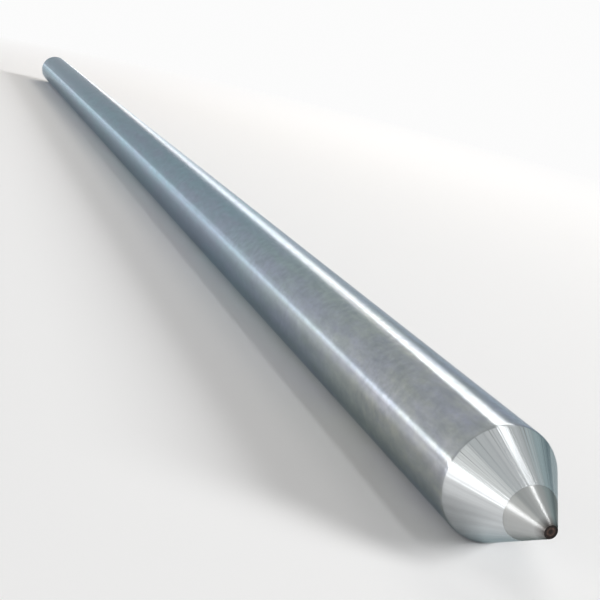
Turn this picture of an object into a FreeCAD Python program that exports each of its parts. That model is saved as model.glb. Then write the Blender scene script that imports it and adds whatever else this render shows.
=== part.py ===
import FreeCAD, Part
import math
import os
import Sketcher

# Pointed ground rod: a steel core inside a thick zinc jacket, cut to length from clad bar, with
# both metals turned together to a driving point.
# The rod lies along Y with its point towards -Y. The origin is on the surface that it lies on,
# below the middle of its length, and +Z is up.

# Driving dimensions in millimetres and degrees, one cell of the sheet each
DRIVING_DIMENSIONS = (
    ("rod_length", 1500, "from the flat of the point to the driving face"),
    ("rod_diameter", 40, "outside of the zinc jacket"),
    ("core_diameter", 18, "steel core, bonded to the jacket all along"),
    ("point_angle", 60, "included angle of the turned point"),
    ("tip_diameter", 4.4, "small flat left at the end of the point"),
    ("driving_chamfer", 1, "edge break round the driving face"),
)


def make_sizes(doc):
    """Sheet that holds the driving dimensions, each cell under its own name."""
    sheet = doc.addObject("Spreadsheet::Sheet", "Sizes")
    for row, (alias, value, meaning) in enumerate(DRIVING_DIMENSIONS, start=1):
        sheet.set(f"A{row}", alias)
        sheet.set(f"B{row}", str(value))
        sheet.set(f"C{row}", meaning)
        sheet.setAlias(f"B{row}", alias)
    doc.recompute()
    return sheet


def sketch_on(body, role, name):
    """Empty sketch on the origin plane of the body that has this role."""
    sketch = body.newObject("Sketcher::SketchObject", name)
    plane = next(feature for feature in body.Origin.OriginFeatures if feature.Role == role)
    sketch.AttachmentSupport = [(plane, "")]
    sketch.MapMode = "FlatFace"
    return sketch


def bind(sketch, name, constraint, expression):
    """Dimension in a sketch that follows the sheet."""
    index = sketch.addConstraint(Sketcher.Constraint(*constraint))
    sketch.renameConstraint(index, name)
    sketch.setExpression(f"Constraints.{name}", expression)


def draw(sketch, corners, construction=False):
    """Line along each pair of neighbouring corners, joined end to end."""
    lines = [
        sketch.addGeometry(Part.LineSegment(start, stop), construction)
        for start, stop in zip(corners, corners[1:])
    ]
    for line, following in zip(lines, lines[1:]):
        sketch.addConstraint(Sketcher.Constraint("Coincident", line, 2, following, 1))
    return lines


class HalfSection:
    """Corners of the turned bar's half section, radius across and length up.

    The driving face is at height 0 and the flat of the point at -rod_length.
    """

    def __init__(self, sizes):
        self.tip_radius = sizes.tip_diameter / 2
        self.core_radius = sizes.core_diameter / 2
        self.rod_radius = sizes.rod_diameter / 2
        self.edge_break = float(sizes.driving_chamfer)
        self.length = float(sizes.rod_length)
        self.slope = math.radians(90 - sizes.point_angle / 2)

    def on_cone(self, radius):
        """Point of the cone at this radius."""
        rise = (radius - self.tip_radius) * math.tan(self.slope)
        return FreeCAD.Vector(radius, rise - self.length, 0)

    def on_face(self, radius):
        """Point of the driving face at this radius."""
        return FreeCAD.Vector(radius, 0, 0)

    def bind_radius(self, sketch, line, end, which):
        """Radius of one end of a line, half of a diameter in the sheet."""
        radius = getattr(self, f"{which}_radius")
        place = ("DistanceX", -1, 1, line, end, radius)
        bind(sketch, f"{which}_radius", place, f"Sizes.{which}_diameter / 2")

    def bind_flat(self, sketch, cone):
        """Place of the flat's edge, where the cone starts."""
        self.bind_radius(sketch, cone, 1, "tip")
        bind(sketch, "flat_place", ("DistanceY", cone, 1, -1, 1, self.length), "Sizes.rod_length")

    def bind_slope(self, sketch, cone, name):
        """Slope of the cone's line against the flat."""
        bind(sketch, name, ("Angle", cone, self.slope), "90 deg - Sizes.point_angle * 1 deg / 2")


def revolve(body, sketch):
    """Solid of the half section turned once round the rod's axis."""
    turned = body.newObject("PartDesign::Revolution", f"{body.Name}_turned")
    turned.Profile = sketch
    turned.ReferenceAxis = (sketch, ["V_Axis"])
    turned.Angle = 360
    return turned


def add_body(doc, name):
    """Body that lies on the surface below it, half of the rod's length each side of the origin."""
    body = doc.addObject("PartDesign::Body", name)
    body.Label = name
    body.setExpression("Placement.Base.y", "Sizes.rod_length / 2")
    body.setExpression("Placement.Base.z", "Sizes.rod_diameter / 2")
    return body


def make_steel_core(doc, section):
    """Steel core, which shows at the end of the point and in the driving face."""
    body = add_body(doc, "steel_core")
    sketch = sketch_on(body, "XY_Plane", "core_half_section")
    foot_of_axis = FreeCAD.Vector(0, -section.length, 0)
    flat, cone, side, face, axis = draw(sketch, [
        foot_of_axis,
        section.on_cone(section.tip_radius),
        section.on_cone(section.core_radius),
        section.on_face(section.core_radius),
        section.on_face(0),
        foot_of_axis,
    ])
    sketch.addConstraint(Sketcher.Constraint("Coincident", axis, 2, flat, 1))
    sketch.addConstraint(Sketcher.Constraint("Coincident", axis, 1, -1, 1))
    for direction, line in (
        ("Horizontal", flat), ("Vertical", side), ("Horizontal", face), ("Vertical", axis)
    ):
        sketch.addConstraint(Sketcher.Constraint(direction, line))
    section.bind_flat(sketch, cone)
    section.bind_slope(sketch, cone, "slope")
    section.bind_radius(sketch, side, 1, "core")
    body.Tip = revolve(body, sketch)
    return body


def make_zinc_jacket(doc, section):
    """Zinc jacket round the core, down to where the cone cuts through to the steel.

    A construction line carries the cone on from the jacket to the flat of the point.
    """
    body = add_body(doc, "zinc_jacket")
    sketch = sketch_on(body, "XY_Plane", "jacket_half_section")
    seam = section.on_cone(section.core_radius)
    steel_cone, = draw(sketch, [section.on_cone(section.tip_radius), seam], construction=True)
    zinc_cone, side, edge_break, face, bore = draw(sketch, [
        seam,
        section.on_cone(section.rod_radius),
        FreeCAD.Vector(section.rod_radius, -section.edge_break, 0),
        section.on_face(section.rod_radius - section.edge_break),
        section.on_face(section.core_radius),
        seam,
    ])
    sketch.addConstraint(Sketcher.Constraint("Coincident", steel_cone, 2, zinc_cone, 1))
    sketch.addConstraint(Sketcher.Constraint("Coincident", bore, 2, zinc_cone, 1))
    for direction, line in (("Vertical", side), ("Horizontal", face), ("Vertical", bore)):
        sketch.addConstraint(Sketcher.Constraint(direction, line))
    sketch.addConstraint(Sketcher.Constraint("PointOnObject", face, 1, -1))
    section.bind_flat(sketch, steel_cone)
    section.bind_slope(sketch, steel_cone, "steel_slope")
    section.bind_slope(sketch, zinc_cone, "zinc_slope")
    section.bind_radius(sketch, bore, 1, "core")
    section.bind_radius(sketch, side, 1, "rod")
    across = ("DistanceX", edge_break, 2, edge_break, 1, section.edge_break)
    along = ("DistanceY", edge_break, 1, edge_break, 2, section.edge_break)
    bind(sketch, "edge_break_across", across, "Sizes.driving_chamfer")
    bind(sketch, "edge_break_along", along, "Sizes.driving_chamfer")
    body.Tip = revolve(body, sketch)
    return body


def check(doc, bodies):
    """Stop before anything is written if an object or a solid has failed."""
    for item in doc.Objects:
        if "Invalid" in item.State or "Error" in item.State:
            raise RuntimeError(f"{item.Label} failed: {item.State}")
    for body in bodies:
        if body.Shape.isNull() or not body.Shape.isValid():
            raise RuntimeError(f"{body.Label} has no valid shape")
        if len(body.Shape.Solids) != 1:
            raise RuntimeError(f"{body.Label} isn't one solid")


def main():
    """Build the two pieces and write one STEP file for each."""
    doc = FreeCAD.newDocument("ground_rod")
    sizes = make_sizes(doc)
    section = HalfSection(sizes)
    bodies = [make_steel_core(doc, section), make_zinc_jacket(doc, section)]
    doc.recompute()
    check(doc, bodies)
    os.makedirs("parts", exist_ok=True)
    for body in bodies:
        body.Shape.exportStep(os.path.join("parts", f"{body.Label}.step"))
        print(body.Label, round(body.Shape.Volume), "cubic mm")


main()
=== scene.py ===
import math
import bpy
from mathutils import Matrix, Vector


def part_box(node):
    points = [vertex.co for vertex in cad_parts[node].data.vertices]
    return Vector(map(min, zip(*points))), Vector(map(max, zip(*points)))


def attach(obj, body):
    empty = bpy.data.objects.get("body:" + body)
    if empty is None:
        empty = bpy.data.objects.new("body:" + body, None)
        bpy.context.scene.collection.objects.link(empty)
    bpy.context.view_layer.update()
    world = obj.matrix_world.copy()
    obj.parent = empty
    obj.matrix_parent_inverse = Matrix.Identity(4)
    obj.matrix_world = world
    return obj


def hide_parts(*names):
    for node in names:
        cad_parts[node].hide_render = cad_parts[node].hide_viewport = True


bl_info = {
    "name": "Ground rod",
    "version": (1, 0, 0),
    "blender": (4, 5, 0),
    "location": "3D View > Sidebar > Ground Rod",
    "description": "Zinc-clad steel ground rod with a turned point, lying on a pale floor",
    "category": "Object",
}

import bpy
from bpy.props import FloatProperty, FloatVectorProperty, IntProperty, PointerProperty
from mathutils import Quaternion, Vector

# The rod lies along Y with its point towards -Y. Its axis is half a diameter above the floor.
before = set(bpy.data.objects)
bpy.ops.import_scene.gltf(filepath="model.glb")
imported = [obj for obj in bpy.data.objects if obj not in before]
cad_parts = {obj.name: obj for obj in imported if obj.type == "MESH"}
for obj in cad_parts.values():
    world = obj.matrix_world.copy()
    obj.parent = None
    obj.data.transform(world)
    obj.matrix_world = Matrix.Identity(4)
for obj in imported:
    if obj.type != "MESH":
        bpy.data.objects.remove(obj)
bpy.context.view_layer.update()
JACKET_LOW, JACKET_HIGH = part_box("zinc_jacket")
CORE_LOW, CORE_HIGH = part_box("steel_core")


class GroundRodSizes(bpy.types.PropertyGroup):
    """Sizes of the rod's two metals and of what is on them. The main ones come from the frame."""

    rod_diameter: FloatProperty(
        name="Rod diameter",
        description="Outside of the zinc jacket",
        default=JACKET_HIGH[0] - JACKET_LOW[0],
        unit="LENGTH",
    )
    core_diameter: FloatProperty(
        name="Core diameter",
        description="Steel core inside the jacket",
        default=CORE_HIGH[0] - CORE_LOW[0],
        unit="LENGTH",
    )
    tip_diameter: FloatProperty(
        name="Tip diameter",
        description="Small flat left at the end of the point",
        default=0.0044,
        unit="LENGTH",
    )
    tip_place: FloatProperty(
        name="Tip place",
        description="Where the flat of the point is along the rod",
        default=CORE_LOW[1],
        unit="LENGTH",
    )
    seam_place: FloatProperty(
        name="Seam place",
        description="Where the cone passes from steel to zinc",
        default=JACKET_LOW[1],
        unit="LENGTH",
    )
    driving_place: FloatProperty(
        name="Driving face place",
        description="Where the driving face is along the rod",
        default=JACKET_HIGH[1],
        unit="LENGTH",
    )
    driving_chamfer: FloatProperty(
        name="Driving chamfer",
        description="Edge break round the driving face",
        default=0.001,
        unit="LENGTH",
    )
    shoulder_softness: FloatProperty(
        name="Shoulder softness",
        description="How far the rounding of the shoulder reaches along the cone and the shaft",
        default=0.0012,
        unit="LENGTH",
    )
    edge_softness: FloatProperty(
        name="Edge softness",
        description="Rounding of every other edge",
        default=0.00012,
        unit="LENGTH",
    )
    tip_dish: FloatProperty(
        name="Tip dish",
        description="Depth of the dish in the flat of the point",
        default=0.0002,
        unit="LENGTH",
    )
    # Painted sky reflection: the shaft keeps its near-point colour over the first length behind
    # the shoulder, then turns to the bluer colour over the second.
    near_point_length: FloatProperty(
        name="Handled length",
        description="Shaft behind the shoulder that has the handled tone in full",
        default=0.06,
        unit="LENGTH",
    )
    sky_tint_fade: FloatProperty(
        name="Handled fade",
        description="Length over which that tone passes into the drawn one",
        default=0.25,
        unit="LENGTH",
    )
    segments: IntProperty(
        name="Segments",
        description="Faces round the rod",
        default=256,
        min=32,
    )

    def slope(self):
        """Length of the cone for each unit of its radius."""
        return (self.seam_place - self.tip_place) / (self.core_diameter - self.tip_diameter) * 2

    def shoulder_place(self):
        """Where the cone meets the shaft."""
        return self.seam_place + (self.rod_diameter - self.core_diameter) / 2 * self.slope()


class GroundRodFinish(bpy.types.PropertyGroup):
    """Colours of the metals and of the marks on them, some holding painted shade or a painted sky
    reflection.
    """

    # The blue of the drawn-zinc colours is a painted reflection of the sky. The near-point colours
    # below have less of it.
    zinc_sky_tinted_colour: FloatVectorProperty(
        name="Drawn zinc",
        description="Most of the shaft",
        subtype="COLOR",
        default=(0.49, 0.62, 0.68),
    )
    zinc_sky_tinted_patch_colour: FloatVectorProperty(
        name="Drawn zinc, patches",
        description="Faint patches on the shaft",
        subtype="COLOR",
        default=(0.53, 0.57, 0.67),
    )
    zinc_near_point_colour: FloatVectorProperty(
        name="Handled zinc",
        description="Shaft near the point, where the rod was held for turning",
        subtype="COLOR",
        default=(0.63, 0.645, 0.59),
    )
    zinc_near_point_patch_colour: FloatVectorProperty(
        name="Handled zinc, patches",
        description="Faint patches near the point",
        subtype="COLOR",
        default=(0.575, 0.58, 0.68),
    )
    zinc_cut_colour: FloatVectorProperty(
        name="Cut zinc",
        description="Turned cone and sawn face of the jacket",
        subtype="COLOR",
        default=(0.75, 0.775, 0.79),
    )
    steel_colour: FloatVectorProperty(
        name="Cut steel",
        description="Turned cone and sawn face of the core",
        subtype="COLOR",
        default=(0.55, 0.56, 0.555),
    )
    rust_colour: FloatVectorProperty(
        name="Rust",
        description="Flat of the point and stains beside it",
        subtype="COLOR",
        default=(0.042, 0.025, 0.020),
    )
    wear_colour: FloatVectorProperty(
        name="Worn marks",
        description="Darker strokes that drawing leaves on the shaft",
        subtype="COLOR",
        default=(0.33, 0.36, 0.39),
    )
    # Painted shade along the shoulder, on the shaft side.
    shoulder_shade_colour: FloatVectorProperty(
        name="Line on the shaft",
        description="Thin line where the shaft meets the cone",
        subtype="COLOR",
        default=(0.16, 0.17, 0.18),
    )
    # Painted shade along the shoulder of the cone, the seam between the metals, and real scratches
    # below the shoulder.
    shade_seam_and_scratch_colour: FloatVectorProperty(
        name="Lines on the cone",
        description="Thin lines at the shoulder and the seam, and scratches below the shoulder",
        subtype="COLOR",
        default=(0.12, 0.12, 0.12),
    )


# How much of the metal's own colour a line or a scratch hides, from 0 to 1; the line at the
# shoulder is painted shade
SHOULDER_SHADE_COVER = 0.15
ZINC_SCRATCH_COVER = 0.75
STEEL_LINE_COVER = 0.08

# What a line on the turned zinc hides, as a share of what a scratch there does; these lines are
# the painted shade at the shoulder and the seam
ZINC_SHADE_AND_SEAM_SHARE = 0.15

# How much of the ring marks is in the relief of the turned zinc
RING_SHARE = 0.15

# Strength of the worn marks beside the point and on the rest of the shaft
WEAR_BY_POINT = 0.8
WEAR_ON_SHAFT = 0.4

# Length below the shoulder where scratches run down the cone, and the part of the noise's range
# over which one comes in
SCRATCHED_LENGTH = 0.015
SCRATCH_EDGE = (0.72, 0.78)

# Distances from the flat of the point between which the stains fade
STAIN_START = 0.0003
STAIN_END = 0.003

# Radius of the lighter ring in the flat of the point, and where it fades on each side, as shares
# of the flat's radius
LIGHTER_RING = 0.48
LIGHTER_RING_FADE = (0.08, 0.22)


# Shader nodes

def add_node(tree, kind, settings=None, inputs=None):
    """Node with its settings and its unlinked inputs filled in."""
    node = tree.nodes.new(kind)
    for name, value in (settings or {}).items():
        setattr(node, name, value)
    for socket, value in (inputs or {}).items():
        node.inputs[socket].default_value = value
    return node


def feed(tree, node, inputs):
    """Fill the node's inputs, each with a number, a colour or another node's socket."""
    for name, value in inputs:
        if isinstance(value, bpy.types.NodeSocket):
            tree.links.new(value, node.inputs[name])
        else:
            node.inputs[name].default_value = value


def calculate(tree, operation, *values):
    """Maths on numbers or sockets."""
    node = add_node(tree, "ShaderNodeMath", {"operation": operation})
    feed(tree, node, enumerate(values))
    return node.outputs[0]


def remap(tree, value, low, high, to_low=0.0, to_high=1.0):
    """Value carried from one range to another and held inside it."""
    node = add_node(tree, "ShaderNodeMapRange")
    feed(tree, node, enumerate((value, low, high, to_low, to_high)))
    return node.outputs[0]


def blend(tree, factor, first, second):
    """Colour that goes from the first to the second with the factor."""
    node = add_node(tree, "ShaderNodeMix", {"data_type": "RGBA"})
    feed(tree, node, ((0, factor), (6, first), (7, second)))
    return node.outputs[2]


def blend_numbers(tree, factor, first, second):
    """Number that goes from the first to the second with the factor."""
    node = add_node(tree, "ShaderNodeMix")
    feed(tree, node, ((0, factor), (2, first), (3, second)))
    return node.outputs[0]


def noise(tree, vector, scale, detail=2.0, roughness=0.6):
    """Noise drawn out along the axes whose scale is low, from 0 to 1 in its middle half."""
    mapping = add_node(tree, "ShaderNodeMapping", inputs={"Scale": scale})
    texture = add_node(
        tree, "ShaderNodeTexNoise", inputs={"Scale": 1.0, "Detail": detail, "Roughness": roughness}
    )
    tree.links.new(vector, mapping.inputs["Vector"])
    tree.links.new(mapping.outputs[0], texture.inputs["Vector"])
    return remap(tree, texture.outputs["Fac"], 0.25, 0.75)


def split(tree, vector):
    """X, Y and Z of a vector."""
    node = add_node(tree, "ShaderNodeSeparateXYZ")
    tree.links.new(vector, node.inputs[0])
    return node.outputs


def new_group(name, numbers, outputs):
    """Shader node group that takes a vector and named numbers, and gives named values."""
    group = bpy.data.node_groups.new(name, "ShaderNodeTree")
    group.interface.new_socket("Vector", in_out="INPUT", socket_type="NodeSocketVector")
    for socket, default in numbers.items():
        made = group.interface.new_socket(socket, in_out="INPUT", socket_type="NodeSocketFloat")
        made.default_value = default
    for socket in outputs:
        group.interface.new_socket(socket, in_out="OUTPUT", socket_type="NodeSocketFloat")
    return group, group.nodes.new("NodeGroupInput").outputs, group.nodes.new("NodeGroupOutput")


def lean(tree, vector, slant):
    """Vector whose place along the rod shifts with its place across it."""
    x, y, z = split(tree, vector)
    node = add_node(tree, "ShaderNodeCombineXYZ")
    across = calculate(tree, "SUBTRACT", x, z)
    feed(tree, node, enumerate((x, calculate(tree, "MULTIPLY_ADD", across, slant, y), z)))
    return node.outputs[0]


def make_ring_marks():
    """Fine crossing marks round the rod that drawing and turning leave, each a short arc."""
    group, given, result = new_group("ring_marks", {}, ("Height", "Tone"))
    place = given["Vector"]
    one_way = noise(group, lean(group, place, 0.02), (280, 260, 280), detail=3.0)
    other_way = noise(group, lean(group, place, -0.02), (180, 60, 180), detail=4.0, roughness=0.7)
    patches = noise(group, place, (50, 14, 50))
    feed(group, result, [
        ("Height", noise(group, place, (70, 2800, 70), detail=3.0)),
        ("Tone", blend_numbers(group, patches, one_way, other_way)),
    ])


def make_mottle():
    """Faint patches of another tone."""
    group, given, result = new_group("mottle", {}, ("Patch",))
    long_bands = noise(group, given["Vector"], (75, 5, 75))
    blotches = noise(group, given["Vector"], (90, 35, 90), detail=4.0, roughness=0.7)
    both = blend_numbers(group, 0.45, long_bands, blotches)
    feed(group, result, [("Patch", remap(group, both, 0.3, 0.7))])


def make_fall_lines():
    """Streaks that run down the point from its shoulder, the same all along a slope."""
    group, given, result = new_group(
        "fall_lines", {"Axis Height": 0.02, "Fineness": 9.0}, ("Streak",)
    )
    x, _, z = split(group, given["Vector"])
    across = add_node(group, "ShaderNodeCombineXYZ")
    height = calculate(group, "SUBTRACT", z, given["Axis Height"])
    feed(group, across, [("X", x), ("Z", height)])
    outwards = add_node(group, "ShaderNodeVectorMath", {"operation": "NORMALIZE"})
    feed(group, outwards, [(0, across.outputs[0])])
    spread = add_node(group, "ShaderNodeVectorMath", {"operation": "SCALE"})
    feed(group, spread, [(0, outwards.outputs[0]), ("Scale", given["Fineness"])])
    feed(group, result, [("Streak", noise(group, spread.outputs[0], (1, 1, 1), detail=4.0))])


def make_edge_line():
    """Thin line round the rod at one place along it, stronger in some stretches: painted shade at
    the shoulder, or the seam between the metals.
    """
    group, given, result = new_group("edge_line", {"Place": 0.0, "Width": 0.0006}, ("Line",))
    along = split(group, given["Vector"])[1]
    off = calculate(group, "ABSOLUTE", calculate(group, "SUBTRACT", along, given["Place"]))
    line = remap(group, calculate(group, "DIVIDE", off, given["Width"]), 0.35, 1.0, 1.0, 0.0)
    stretches = remap(group, noise(group, given["Vector"], (110, 1, 110)), 0.35, 0.8)
    feed(group, result, [("Line", calculate(group, "MULTIPLY", line, stretches))])


def make_saw_marks():
    """Marks straight across a sawn face."""
    group, given, result = new_group("saw_marks", {}, ("Mark",))
    feed(group, result, [("Mark", noise(group, given["Vector"], (90, 90, 1800), detail=3.0))])


MARK_GROUPS = (make_ring_marks, make_mottle, make_fall_lines, make_edge_line, make_saw_marks)


def new_material(name, constants):
    """Material with one Principled shader, its constants set on its own sockets."""
    material = bpy.data.materials.new(name)
    material.use_nodes = True
    tree = material.node_tree
    shader = tree.nodes["Principled BSDF"]
    for socket, value in constants.items():
        shader.inputs[socket].default_value = value
    place = add_node(tree, "ShaderNodeTexCoord").outputs["Object"]
    return material, tree, shader, place


def use_group(tree, name, vector, inputs=None):
    """Outputs of a node group placed in a material."""
    node = add_node(tree, "ShaderNodeGroup", {"node_tree": bpy.data.node_groups[name]}, inputs)
    tree.links.new(vector, node.inputs["Vector"])
    return node.outputs


def rgba(colour, gain=1.0):
    """Colour with its alpha, made lighter or darker by the gain."""
    return (*(channel * gain for channel in colour), 1.0)


def add_relief(tree, shader, height, distance):
    """Relief on the shader's normal."""
    node = add_node(tree, "ShaderNodeBump", inputs={"Distance": distance})
    tree.links.new(height, node.inputs["Height"])
    tree.links.new(node.outputs[0], shader.inputs["Normal"])


def spread_along_rod(tree, shader):
    """Stretch the shader's highlights along the rod, across the fine ring marks."""
    tangent = add_node(tree, "ShaderNodeTangent", {"direction_type": "RADIAL", "axis": "Y"})
    tree.links.new(tangent.outputs[0], shader.inputs["Tangent"])


def drawn_zinc(sizes, finish):
    """Shaft: drawn zinc, warmer near the point and bluer further back, where the blue is a painted
    sky reflection.
    """
    material, tree, shader, place = new_material(
        "zinc_drawn",
        {
            "Metallic": 1.0,
            "Anisotropic": 0.9,
            "Anisotropic Rotation": 0.25,
            "Specular Tint": (0.46, 0.54, 0.59, 1.0),
        },
    )
    marks = use_group(tree, "ring_marks", place)
    patch = use_group(tree, "mottle", place)["Patch"]
    # Painted shade: a thin dark line on the shaft along the shoulder.
    shoulder = {"Place": sizes.shoulder_place(), "Width": 0.0007}
    line = use_group(tree, "edge_line", place, shoulder)["Line"]
    # Painted sky reflection: away from the point the colour turns bluer.
    sky_tint_start = sizes.shoulder_place() + sizes.near_point_length
    along = remap(tree, split(tree, place)[1], sky_tint_start, sky_tint_start + sizes.sky_tint_fade)
    sky_tinted = blend(tree, patch, rgba(finish.zinc_sky_tinted_colour), rgba(finish.zinc_sky_tinted_patch_colour))
    near = blend(
        tree, patch, rgba(finish.zinc_near_point_colour), rgba(finish.zinc_near_point_patch_colour)
    )
    clean = blend(tree, along, near, sky_tinted)
    strokes = remap(tree, marks["Tone"], 0.2, 1.0)
    strength = remap(tree, along, 0.0, 1.0, to_low=WEAR_BY_POINT, to_high=WEAR_ON_SHAFT)
    wear = calculate(tree, "MULTIPLY", strokes, strength)
    marked = blend(tree, wear, clean, rgba(finish.wear_colour))
    cover = calculate(tree, "MULTIPLY", line, SHOULDER_SHADE_COVER)
    feed(tree, shader, [
        ("Base Color", blend(tree, cover, marked, rgba(finish.shoulder_shade_colour))),
        ("Roughness", remap(tree, marks["Tone"], 0.0, 1.0, to_low=0.14, to_high=0.19)),
    ])
    spread_along_rod(tree, shader)
    add_relief(tree, shader, marks["Height"], distance=0.000008)
    return material


def turned_zinc(sizes, finish):
    """Zinc part of the cone, with the tool's marks and darker radial streaks in its colour that
    are partly painted reflection.
    """
    material, tree, shader, place = new_material(
        "zinc_turned",
        {
            "Metallic": 1.0,
            "Anisotropic": 0.85,
            "Anisotropic Rotation": 0.25,
            "Specular Tint": (0.36, 0.45, 0.47, 1.0),
        },
    )
    marks = use_group(tree, "ring_marks", place)
    streak = use_group(tree, "fall_lines", place)["Streak"]
    scratches = use_group(tree, "fall_lines", place, {"Fineness": 60.0})["Streak"]
    # The dark line at the shoulder is painted shade; the one at the seam is the joint of the two
    # metals.
    shoulder = {"Place": sizes.shoulder_place(), "Width": 0.0005}
    seam = {"Place": sizes.seam_place, "Width": 0.0004}
    shoulder_shade = use_group(tree, "edge_line", place, shoulder)["Line"]
    seam_line = use_group(tree, "edge_line", place, seam)["Line"]
    shade_and_seam = calculate(tree, "ADD", shoulder_shade, seam_line)
    lines = calculate(tree, "MULTIPLY", shade_and_seam, ZINC_SHADE_AND_SEAM_SHARE)
    top = sizes.shoulder_place()
    upper = remap(tree, split(tree, place)[1], top - SCRATCHED_LENGTH, top)
    scratched = calculate(tree, "MULTIPLY", remap(tree, scratches, *SCRATCH_EDGE), upper)
    dark = calculate(tree, "MAXIMUM", lines, scratched)
    cover = calculate(tree, "MULTIPLY", dark, ZINC_SCRATCH_COVER)
    # Darker radial streaks in the colour: partly the turning's own marks, partly painted
    # reflection of things beside the rod.
    cut = blend(
        tree, streak, rgba(finish.zinc_cut_colour), rgba(finish.zinc_cut_colour, gain=0.78)
    )
    feed(tree, shader, [
        ("Base Color", blend(tree, cover, cut, rgba(finish.shade_seam_and_scratch_colour))),
        ("Roughness", remap(tree, streak, 0.0, 1.0, to_low=0.17, to_high=0.24)),
    ])
    spread_along_rod(tree, shader)
    height = calculate(tree, "MULTIPLY_ADD", marks["Height"], RING_SHARE, streak)
    add_relief(tree, shader, height, distance=0.00008)
    return material


def turned_steel(sizes, finish):
    """Steel end of the point: greyer and more matte than the zinc, stained at its tip."""
    material, tree, shader, place = new_material(
        "steel_turned",
        {
            "Metallic": 1.0,
            "Anisotropic": 0.75,
            "Anisotropic Rotation": 0.25,
            "Specular Tint": (0.14, 0.19, 0.19, 1.0),
        },
    )
    streak = use_group(tree, "fall_lines", place, {"Fineness": 6.0})["Streak"]
    patch = use_group(tree, "mottle", place)["Patch"]
    seam = {"Place": sizes.seam_place, "Width": 0.0005}
    line = use_group(tree, "edge_line", place, seam)["Line"]
    from_tip = calculate(tree, "SUBTRACT", split(tree, place)[1], sizes.tip_place)
    near_tip = remap(tree, from_tip, STAIN_START, STAIN_END, to_low=1.0, to_high=0.0)
    depth = remap(tree, patch, 0.0, 1.0, to_low=0.2, to_high=0.9)
    stain = calculate(tree, "MULTIPLY", near_tip, depth)
    cut = blend(tree, streak, rgba(finish.steel_colour), rgba(finish.steel_colour, gain=0.88))
    stained = blend(tree, stain, cut, rgba(finish.rust_colour))
    cover = calculate(tree, "MULTIPLY", line, STEEL_LINE_COVER)
    feed(tree, shader, [
        ("Base Color", blend(tree, cover, stained, rgba(finish.shade_seam_and_scratch_colour))),
        ("Roughness", remap(tree, streak, 0.0, 1.0, to_low=0.28, to_high=0.33)),
    ])
    spread_along_rod(tree, shader)
    add_relief(tree, shader, streak, distance=0.00003)
    return material


def rusted_steel(sizes, finish):
    """Flat of the point: rusted where it was parted off, with one lighter ring in it."""
    material, tree, shader, place = new_material(
        "steel_rusted", {"Metallic": 0.1, "Roughness": 0.8}
    )
    grain = noise(tree, place, (1400, 1400, 1400), detail=4.0)
    x, _, z = split(tree, place)
    height = calculate(tree, "SUBTRACT", z, sizes.rod_diameter / 2)
    squares = calculate(
        tree, "ADD", calculate(tree, "POWER", x, 2.0), calculate(tree, "POWER", height, 2.0)
    )
    out = calculate(tree, "DIVIDE", calculate(tree, "SQRT", squares), sizes.tip_diameter / 2)
    off_ring = calculate(tree, "ABSOLUTE", calculate(tree, "SUBTRACT", out, LIGHTER_RING))
    on_ring = remap(tree, off_ring, *LIGHTER_RING_FADE, to_low=1.0, to_high=0.0)
    marked = calculate(tree, "MULTIPLY", on_ring, grain)
    dark = rgba(finish.rust_colour, gain=0.3)
    bright = rgba(finish.rust_colour, gain=2.4)
    feed(tree, shader, [("Base Color", blend(tree, marked, dark, bright))])
    add_relief(tree, shader, grain, distance=0.0002)
    return material


def sawn_metal(name, colour):
    """Driving face: saw marks straight across."""
    material, tree, shader, place = new_material(name, {"Metallic": 1.0})
    mark = use_group(tree, "saw_marks", place)["Mark"]
    feed(tree, shader, [
        ("Base Color", blend(tree, mark, rgba(colour), rgba(colour, gain=0.6))),
        ("Roughness", remap(tree, mark, 0.0, 1.0, to_low=0.35, to_high=0.55)),
    ])
    add_relief(tree, shader, mark, distance=0.00008)
    return material


# Mesh work

SUPPORT_REACH = 0.0004
ROUNDING_STEPS = 5
MERGE_REACH = 1e-6
SAME_PLACE = 1e-5
EDGE_SEGMENTS = 3
EDGE_ANGLE = math.radians(20)
SMOOTH_ANGLE = math.radians(30)

# A normal with more than this much of Y faces the driving end
FACING_BACK = 0.9

# Rings in the dished flat of the point, as shares of its radius. A fan of faces closes the
# smallest, which the driving face has too.
END_RING = 0.08
DISH_INSIDE = 0.30
DISH_OUTSIDE = 0.80
RIM_INSIDE = 0.93

# Depth at which the pip in the dish ends, as a share of the dish's
PIP_DEPTH = 0.25


def deselect_all():
    """Nothing selected, because an operator acts on all that is."""
    if bpy.context.object and bpy.context.object.mode != "OBJECT":
        bpy.ops.object.mode_set(mode="OBJECT")
    bpy.ops.object.select_all(action="DESELECT")


def with_support_rings(profile):
    """Profile with a ring close to each end of its longer parts, to keep their faces true."""
    rings = [profile[0]]
    for start, end in zip(profile, profile[1:]):
        start, end = Vector(start), Vector(end)
        step = (end - start).normalized() * SUPPORT_REACH
        if (end - start).length > 4 * SUPPORT_REACH:
            rings += [tuple(start + step), tuple(end - step)]
        rings.append(tuple(end))
    return rings


def rounded(before, corner, after, reach):
    """Points of a curve in place of the corner, which it reaches to on both sides."""
    corner = Vector(corner)
    start = corner + (Vector(before) - corner).normalized() * reach
    end = corner + (Vector(after) - corner).normalized() * reach
    points = []
    for step in range(ROUNDING_STEPS + 1):
        part = step / ROUNDING_STEPS
        points.append(tuple(start.lerp(corner, part).lerp(corner.lerp(end, part), part)))
    return points


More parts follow.
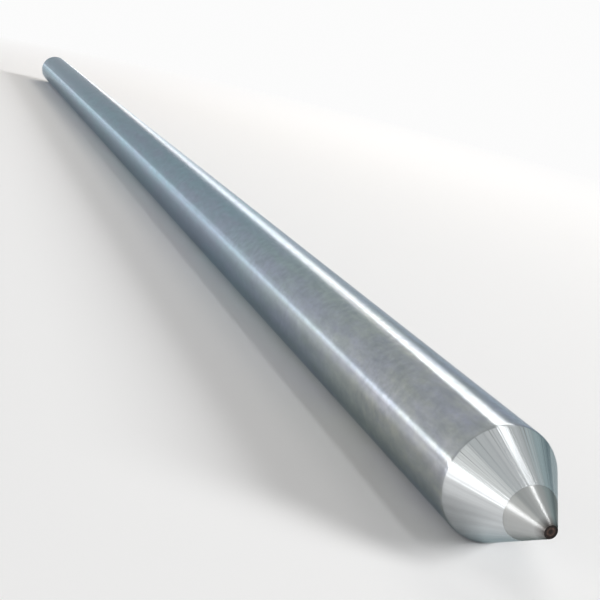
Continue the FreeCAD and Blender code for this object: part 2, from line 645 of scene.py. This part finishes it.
def lathe(name, profile, sizes):
    """Ring carried along the profile, which is (place along the rod, radius) in turn."""
    deselect_all()
    axis_height = sizes.rod_diameter / 2
    rings = with_support_rings(profile)
    place, radius = rings[0]
    bpy.ops.mesh.primitive_circle_add(
        vertices=sizes.segments,
        radius=radius,
        location=(0, place, axis_height),
        rotation=(math.radians(90), 0, 0),
    )
    piece = bpy.context.object
    piece.name = name
    bpy.ops.object.mode_set(mode="EDIT")
    bpy.ops.mesh.select_mode(type="EDGE")
    bpy.ops.mesh.select_all(action="SELECT")
    for next_place, next_radius in rings[1:]:
        bpy.ops.mesh.extrude_region_move(
            TRANSFORM_OT_translate={"value": (0, next_place - place, 0)}
        )
        ratio = next_radius / radius
        bpy.ops.transform.resize(
            value=(ratio, 1, ratio), center_override=(0, next_place, axis_height)
        )
        place, radius = next_place, next_radius
    return piece


def close_ends():
    """Fan of faces over each open end of the piece being edited, whose own Z is along the rod."""
    for end in (min, max):
        bpy.ops.mesh.select_all(action="DESELECT")
        bpy.ops.mesh.select_non_manifold(extend=False)
        bpy.ops.object.mode_set(mode="OBJECT")
        mesh = bpy.context.object.data
        picked = [vertex for vertex in mesh.vertices if vertex.select]
        depth = end(vertex.co.z for vertex in picked)
        for vertex in picked:
            vertex.select = abs(vertex.co.z - depth) < SAME_PLACE
        for edge in mesh.edges:
            edge.select = all(mesh.vertices[index].select for index in edge.vertices)
        bpy.ops.object.mode_set(mode="EDIT")
        bpy.ops.mesh.extrude_region_move()
        bpy.ops.mesh.merge(type="CENTER")


def finish_piece(piece, edge_softness):
    """Edges softened, normals outwards, and the place kept in the mesh."""
    bpy.ops.mesh.select_all(action="SELECT")
    bpy.ops.mesh.remove_doubles(threshold=MERGE_REACH)
    bpy.ops.mesh.normals_make_consistent(inside=False)
    bpy.ops.object.mode_set(mode="OBJECT")
    bpy.ops.object.transform_apply(location=True, rotation=True, scale=True)
    bevel = piece.modifiers.new("edges", "BEVEL")
    bevel.width = edge_softness
    bevel.segments = EDGE_SEGMENTS
    bevel.limit_method = "ANGLE"
    bevel.angle_limit = EDGE_ANGLE
    bpy.ops.object.modifier_apply(modifier=bevel.name)
    bpy.ops.object.shade_smooth_by_angle(angle=SMOOTH_ANGLE)


def paint_faces(piece, materials, choose):
    """Material on each face, by the name that is chosen for the face's middle and normal."""
    for material in materials.values():
        piece.data.materials.append(material)
    names = list(materials)
    for face in piece.data.polygons:
        face.material_index = names.index(choose(face.center, face.normal))


class GROUNDROD_OT_zinc_jacket(bpy.types.Operator):
    """Zinc jacket with its share of the turned point"""

    bl_idname = "ground_rod.zinc_jacket"
    bl_label = "Zinc jacket"

    def execute(self, context):
        sizes = context.scene.ground_rod_sizes
        finish = context.scene.ground_rod_finish
        rod_radius = sizes.rod_diameter / 2
        core_radius = sizes.core_diameter / 2
        shoulder = sizes.shoulder_place()
        chamfer = sizes.driving_chamfer
        seam_edge = (sizes.seam_place, core_radius)
        chamfer_edge = (sizes.driving_place - chamfer, rod_radius)
        piece = lathe(
            "jacket",
            [
                seam_edge,
                *rounded(seam_edge, (shoulder, rod_radius), chamfer_edge, sizes.shoulder_softness),
                chamfer_edge,
                (sizes.driving_place, rod_radius - chamfer),
                (sizes.driving_place, core_radius),
                seam_edge,
            ],
            sizes,
        )
        finish_piece(piece, sizes.edge_softness)

        def choose(middle, normal):
            if middle.y < shoulder:
                return "cone"
            return "driving face" if normal.y > FACING_BACK else "shaft"

        materials = {
            "shaft": drawn_zinc(sizes, finish),
            "cone": turned_zinc(sizes, finish),
            "driving face": sawn_metal("zinc_sawn", finish.zinc_cut_colour),
        }
        paint_faces(piece, materials, choose)
        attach(piece, "root")
        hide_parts("zinc_jacket")
        return {"FINISHED"}


class GROUNDROD_OT_steel_core(bpy.types.Operator):
    """Steel core, which shows at both ends of the rod"""

    bl_idname = "ground_rod.steel_core"
    bl_label = "Steel core"

    def execute(self, context):
        sizes = context.scene.ground_rod_sizes
        finish = context.scene.ground_rod_finish
        core_radius = sizes.core_diameter / 2
        tip_radius = sizes.tip_diameter / 2
        dish = sizes.tip_place + sizes.tip_dish
        pip = sizes.tip_place + sizes.tip_dish * PIP_DEPTH
        end_radius = tip_radius * END_RING
        piece = lathe(
            "core",
            [
                (pip, end_radius),
                (dish, tip_radius * DISH_INSIDE),
                (dish, tip_radius * DISH_OUTSIDE),
                (sizes.tip_place, tip_radius * RIM_INSIDE),
                (sizes.tip_place, tip_radius),
                (sizes.seam_place, core_radius),
                (sizes.driving_place, core_radius),
                (sizes.driving_place, end_radius),
            ],
            sizes,
        )
        close_ends()
        finish_piece(piece, sizes.edge_softness)

        def choose(middle, normal):
            if normal.y > FACING_BACK:
                return "driving face"
            from_axis = math.hypot(middle.x, middle.z - sizes.rod_diameter / 2)
            in_flat = middle.y < dish + SAME_PLACE and from_axis < tip_radius
            return "flat" if in_flat else "cone"

        materials = {
            "cone": turned_steel(sizes, finish),
            "flat": rusted_steel(sizes, finish),
            "driving face": sawn_metal("steel_sawn", finish.steel_colour),
        }
        paint_faces(piece, materials, choose)
        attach(piece, "root")
        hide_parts("steel_core")
        return {"FINISHED"}


# Stage

CAMERA_PLACE = (-0.17790, -0.98994, 0.13951)
CAMERA_AIM = (0.0, -0.5131, 0.0192)
CAMERA_ROLL = 11.5
CAMERA_LENS = 65.0
CAMERA_SENSOR = 36.0
CAMERA_REACH = (0.01, 200)

# Tones of the room
ROOM_PALE = (0.97, 0.97, 0.97, 1)
ROOM_LOW = (0.68, 0.69, 0.69, 1)
ROOM_HIGH = (0.54, 0.56, 0.56, 1)
ROOM_TOP = (0.64, 0.65, 0.65, 1)
ROOM_RIGHT = (0.45, 0.54, 0.55, 1)
ROOM_DIM = (0.25, 0.31, 0.33, 1)
ROOM_SOFT = (0.30, 0.30, 0.30, 1)

# Where one tone passes into the next, as parts of a view direction's rise or of its lean to +X
LOW_BAND = (0.05, 0.09)
HIGH_BAND = (0.12, 0.45)
TOP_BAND = (0.80, 0.97)
DIM_BAND = (0.0, 0.06)
DIM_TOP_BAND = (0.12, 0.40)
RIGHT_SIDE = (0.62, 0.80)
HORIZON_SLOPE = 0.14

# The floor's paint fades into a plain pale tone between these distances, measured shorter along Y
FLOOR_FADE = (0.45, 1.05)
FLOOR_SQUEEZE = (1.0, 0.55, 1.0)
FLOOR_RADIUS = 60
FLOOR_SEGMENTS = 96
FLOOR_COLOUR = (0.96, 0.96, 0.96, 1)

# Lamps as (name, place, turn in degrees, size, radiance, colour)
WHITE = (1.0, 1.0, 1.0)
WARM = (1.0, 0.96, 0.90)
AMBER = (1.0, 0.81, 0.74)
COOL = (0.84, 0.97, 1.0)
LAMPS = (
    ("near_strip", (0.85, 1.2, 1.2), (0, 0, -14.6), (0.58, 2.1), 2.35, WARM),
    ("far_strip", (3.35, 21.1, 1.2), (0, 0, -7.1), (0.62, 38.0), 3.9, AMBER),
    ("point_strip", (0.235, -0.75, 1.2), (0, 0, 0), (0.14, 1.6), 2.7, WHITE),
    ("left_softbox", (-2.5, -1.3, 1.32), (0, -90, 0), (1.95, 2.6), 0.30, WARM),
    ("left_bank", (-2.4, -0.15, 0.22), (0, -90, 0), (0.40, 4.9), 2.4, WHITE),
    ("low_strip", (-2.4, 4.9, 0.18), (0, -90, 0), (0.32, 5.0), 0.9, COOL),
    ("far_low_strip", (-2.4, 15.2, 0.36), (0, -90, 0), (0.52, 15.4), 1.1, WHITE),
    ("floor_card", (-0.87, -0.82, 0.001), (180, 0, 0), (1.46, 0.56), 0.7, WHITE),
)
KEY = ("right_key", (5.0, -3.7, 2.7), (0, 63, -36.5), (1.96, 1.96), 32.0, WHITE)


def add_camera():
    """Camera low over the point, looking along the rod."""
    bpy.ops.object.camera_add(location=CAMERA_PLACE)
    camera = bpy.context.object
    camera.name = "camera"
    aim = Vector(CAMERA_AIM) - Vector(CAMERA_PLACE)
    roll = Quaternion((0, 0, 1), math.radians(CAMERA_ROLL))
    camera.rotation_euler = (aim.to_track_quat("-Z", "Y") @ roll).to_euler()
    camera.data.lens = CAMERA_LENS
    camera.data.sensor_width = CAMERA_SENSOR
    camera.data.clip_start, camera.data.clip_end = CAMERA_REACH
    bpy.context.scene.camera = camera


def add_lamp(name, place, turn, size, radiance, colour):
    """Rectangular lamp, as bright all over as the radiance says, that the camera doesn't see."""
    rotation = [math.radians(angle) for angle in turn]
    bpy.ops.object.light_add(type="AREA", location=place, rotation=rotation)
    lamp = bpy.context.object
    lamp.name = name
    lamp.data.shape = "RECTANGLE"
    lamp.data.size, lamp.data.size_y = size
    lamp.data.energy = radiance * math.pi * size[0] * size[1]
    lamp.data.color = colour
    lamp.visible_camera = False
    return lamp


def add_world():
    """Soft room: pale at the horizon, mid grey overhead and dim on the right."""
    world = bpy.data.worlds.new("room")
    world.use_nodes = True
    tree = world.node_tree
    x, _, z = split(tree, add_node(tree, "ShaderNodeTexCoord").outputs["Generated"])
    rightwards = calculate(tree, "MAXIMUM", x, 0.0)
    horizon = calculate(tree, "MULTIPLY", rightwards, HORIZON_SLOPE)
    height = calculate(tree, "SUBTRACT", z, horizon)
    low = blend(tree, remap(tree, height, *LOW_BAND), ROOM_PALE, ROOM_LOW)
    high = blend(tree, remap(tree, height, *HIGH_BAND), low, ROOM_HIGH)
    left = blend(tree, remap(tree, z, *TOP_BAND), high, ROOM_TOP)
    dim = blend(tree, remap(tree, z, *DIM_BAND), ROOM_PALE, ROOM_DIM)
    right = blend(tree, remap(tree, z, *DIM_TOP_BAND), dim, ROOM_RIGHT)
    room = blend(tree, remap(tree, x, *RIGHT_SIDE), left, right)
    diffuse = add_node(tree, "ShaderNodeLightPath").outputs["Is Diffuse Ray"]
    feed(tree, tree.nodes["Background"], [("Color", blend(tree, diffuse, room, ROOM_SOFT))])
    bpy.context.scene.world = world


def add_floor():
    """Pale floor that fades into the pale horizon."""
    bpy.ops.mesh.primitive_circle_add(
        vertices=FLOOR_SEGMENTS, radius=FLOOR_RADIUS, fill_type="NGON"
    )
    floor = bpy.context.object
    floor.name = "floor"
    material, tree, shader, place = new_material(
        "floor_paint",
        {"Base Color": FLOOR_COLOUR, "Roughness": 0.9, "Specular IOR Level": 0.0},
    )
    glow = add_node(tree, "ShaderNodeEmission", inputs={"Color": ROOM_PALE})
    squeezed = add_node(tree, "ShaderNodeMapping", inputs={"Scale": FLOOR_SQUEEZE})
    distance = add_node(tree, "ShaderNodeVectorMath", {"operation": "LENGTH"})
    tree.links.new(place, squeezed.inputs["Vector"])
    tree.links.new(squeezed.outputs[0], distance.inputs[0])
    fade = remap(tree, distance.outputs["Value"], *FLOOR_FADE)
    mix = add_node(tree, "ShaderNodeMixShader")
    feed(tree, mix, enumerate((fade, shader.outputs[0], glow.outputs[0])))
    tree.links.new(mix.outputs[0], tree.nodes["Material Output"].inputs["Surface"])
    floor.data.materials.append(material)


class GROUNDROD_OT_stage(bpy.types.Operator):
    """Pale floor, soft room, lamps and camera"""

    bl_idname = "ground_rod.stage"
    bl_label = "Stage"

    def execute(self, context):
        deselect_all()
        add_camera()
        add_world()
        add_floor()
        for lamp in LAMPS:
            add_lamp(*lamp)
        # The metal would show the key as a hard patch, so it lights the floor alone
        key = add_lamp(*KEY)
        key.visible_glossy = False
        context.scene.view_settings.view_transform = "Standard"
        return {"FINISHED"}


class GROUNDROD_PT_panel(bpy.types.Panel):
    """Sizes, colours and pieces of the rod"""

    bl_label = "Ground Rod"
    bl_idname = "GROUNDROD_PT_panel"
    bl_space_type = "VIEW_3D"
    bl_region_type = "UI"
    bl_category = "Ground Rod"

    def draw(self, context):
        for settings in (context.scene.ground_rod_sizes, context.scene.ground_rod_finish):
            column = self.layout.column()
            for name in settings.__annotations__:
                column.prop(settings, name)
        for operator in OPERATORS:
            self.layout.operator(operator.bl_idname)


OPERATORS = (GROUNDROD_OT_zinc_jacket, GROUNDROD_OT_steel_core, GROUNDROD_OT_stage)
CLASSES = (GroundRodSizes, GroundRodFinish, *OPERATORS, GROUNDROD_PT_panel)


def register():
    for cls in CLASSES:
        bpy.utils.register_class(cls)
    bpy.types.Scene.ground_rod_sizes = PointerProperty(type=GroundRodSizes)
    bpy.types.Scene.ground_rod_finish = PointerProperty(type=GroundRodFinish)


def unregister():
    del bpy.types.Scene.ground_rod_finish
    del bpy.types.Scene.ground_rod_sizes
    for cls in reversed(CLASSES):
        bpy.utils.unregister_class(cls)


def main():
    """Build the rod and its stage."""
    register()
    for make_group in MARK_GROUPS:
        make_group()
    bpy.ops.ground_rod.zinc_jacket()
    bpy.ops.ground_rod.steel_core()
    bpy.ops.ground_rod.stage()


if __name__ == "__main__":
    main()
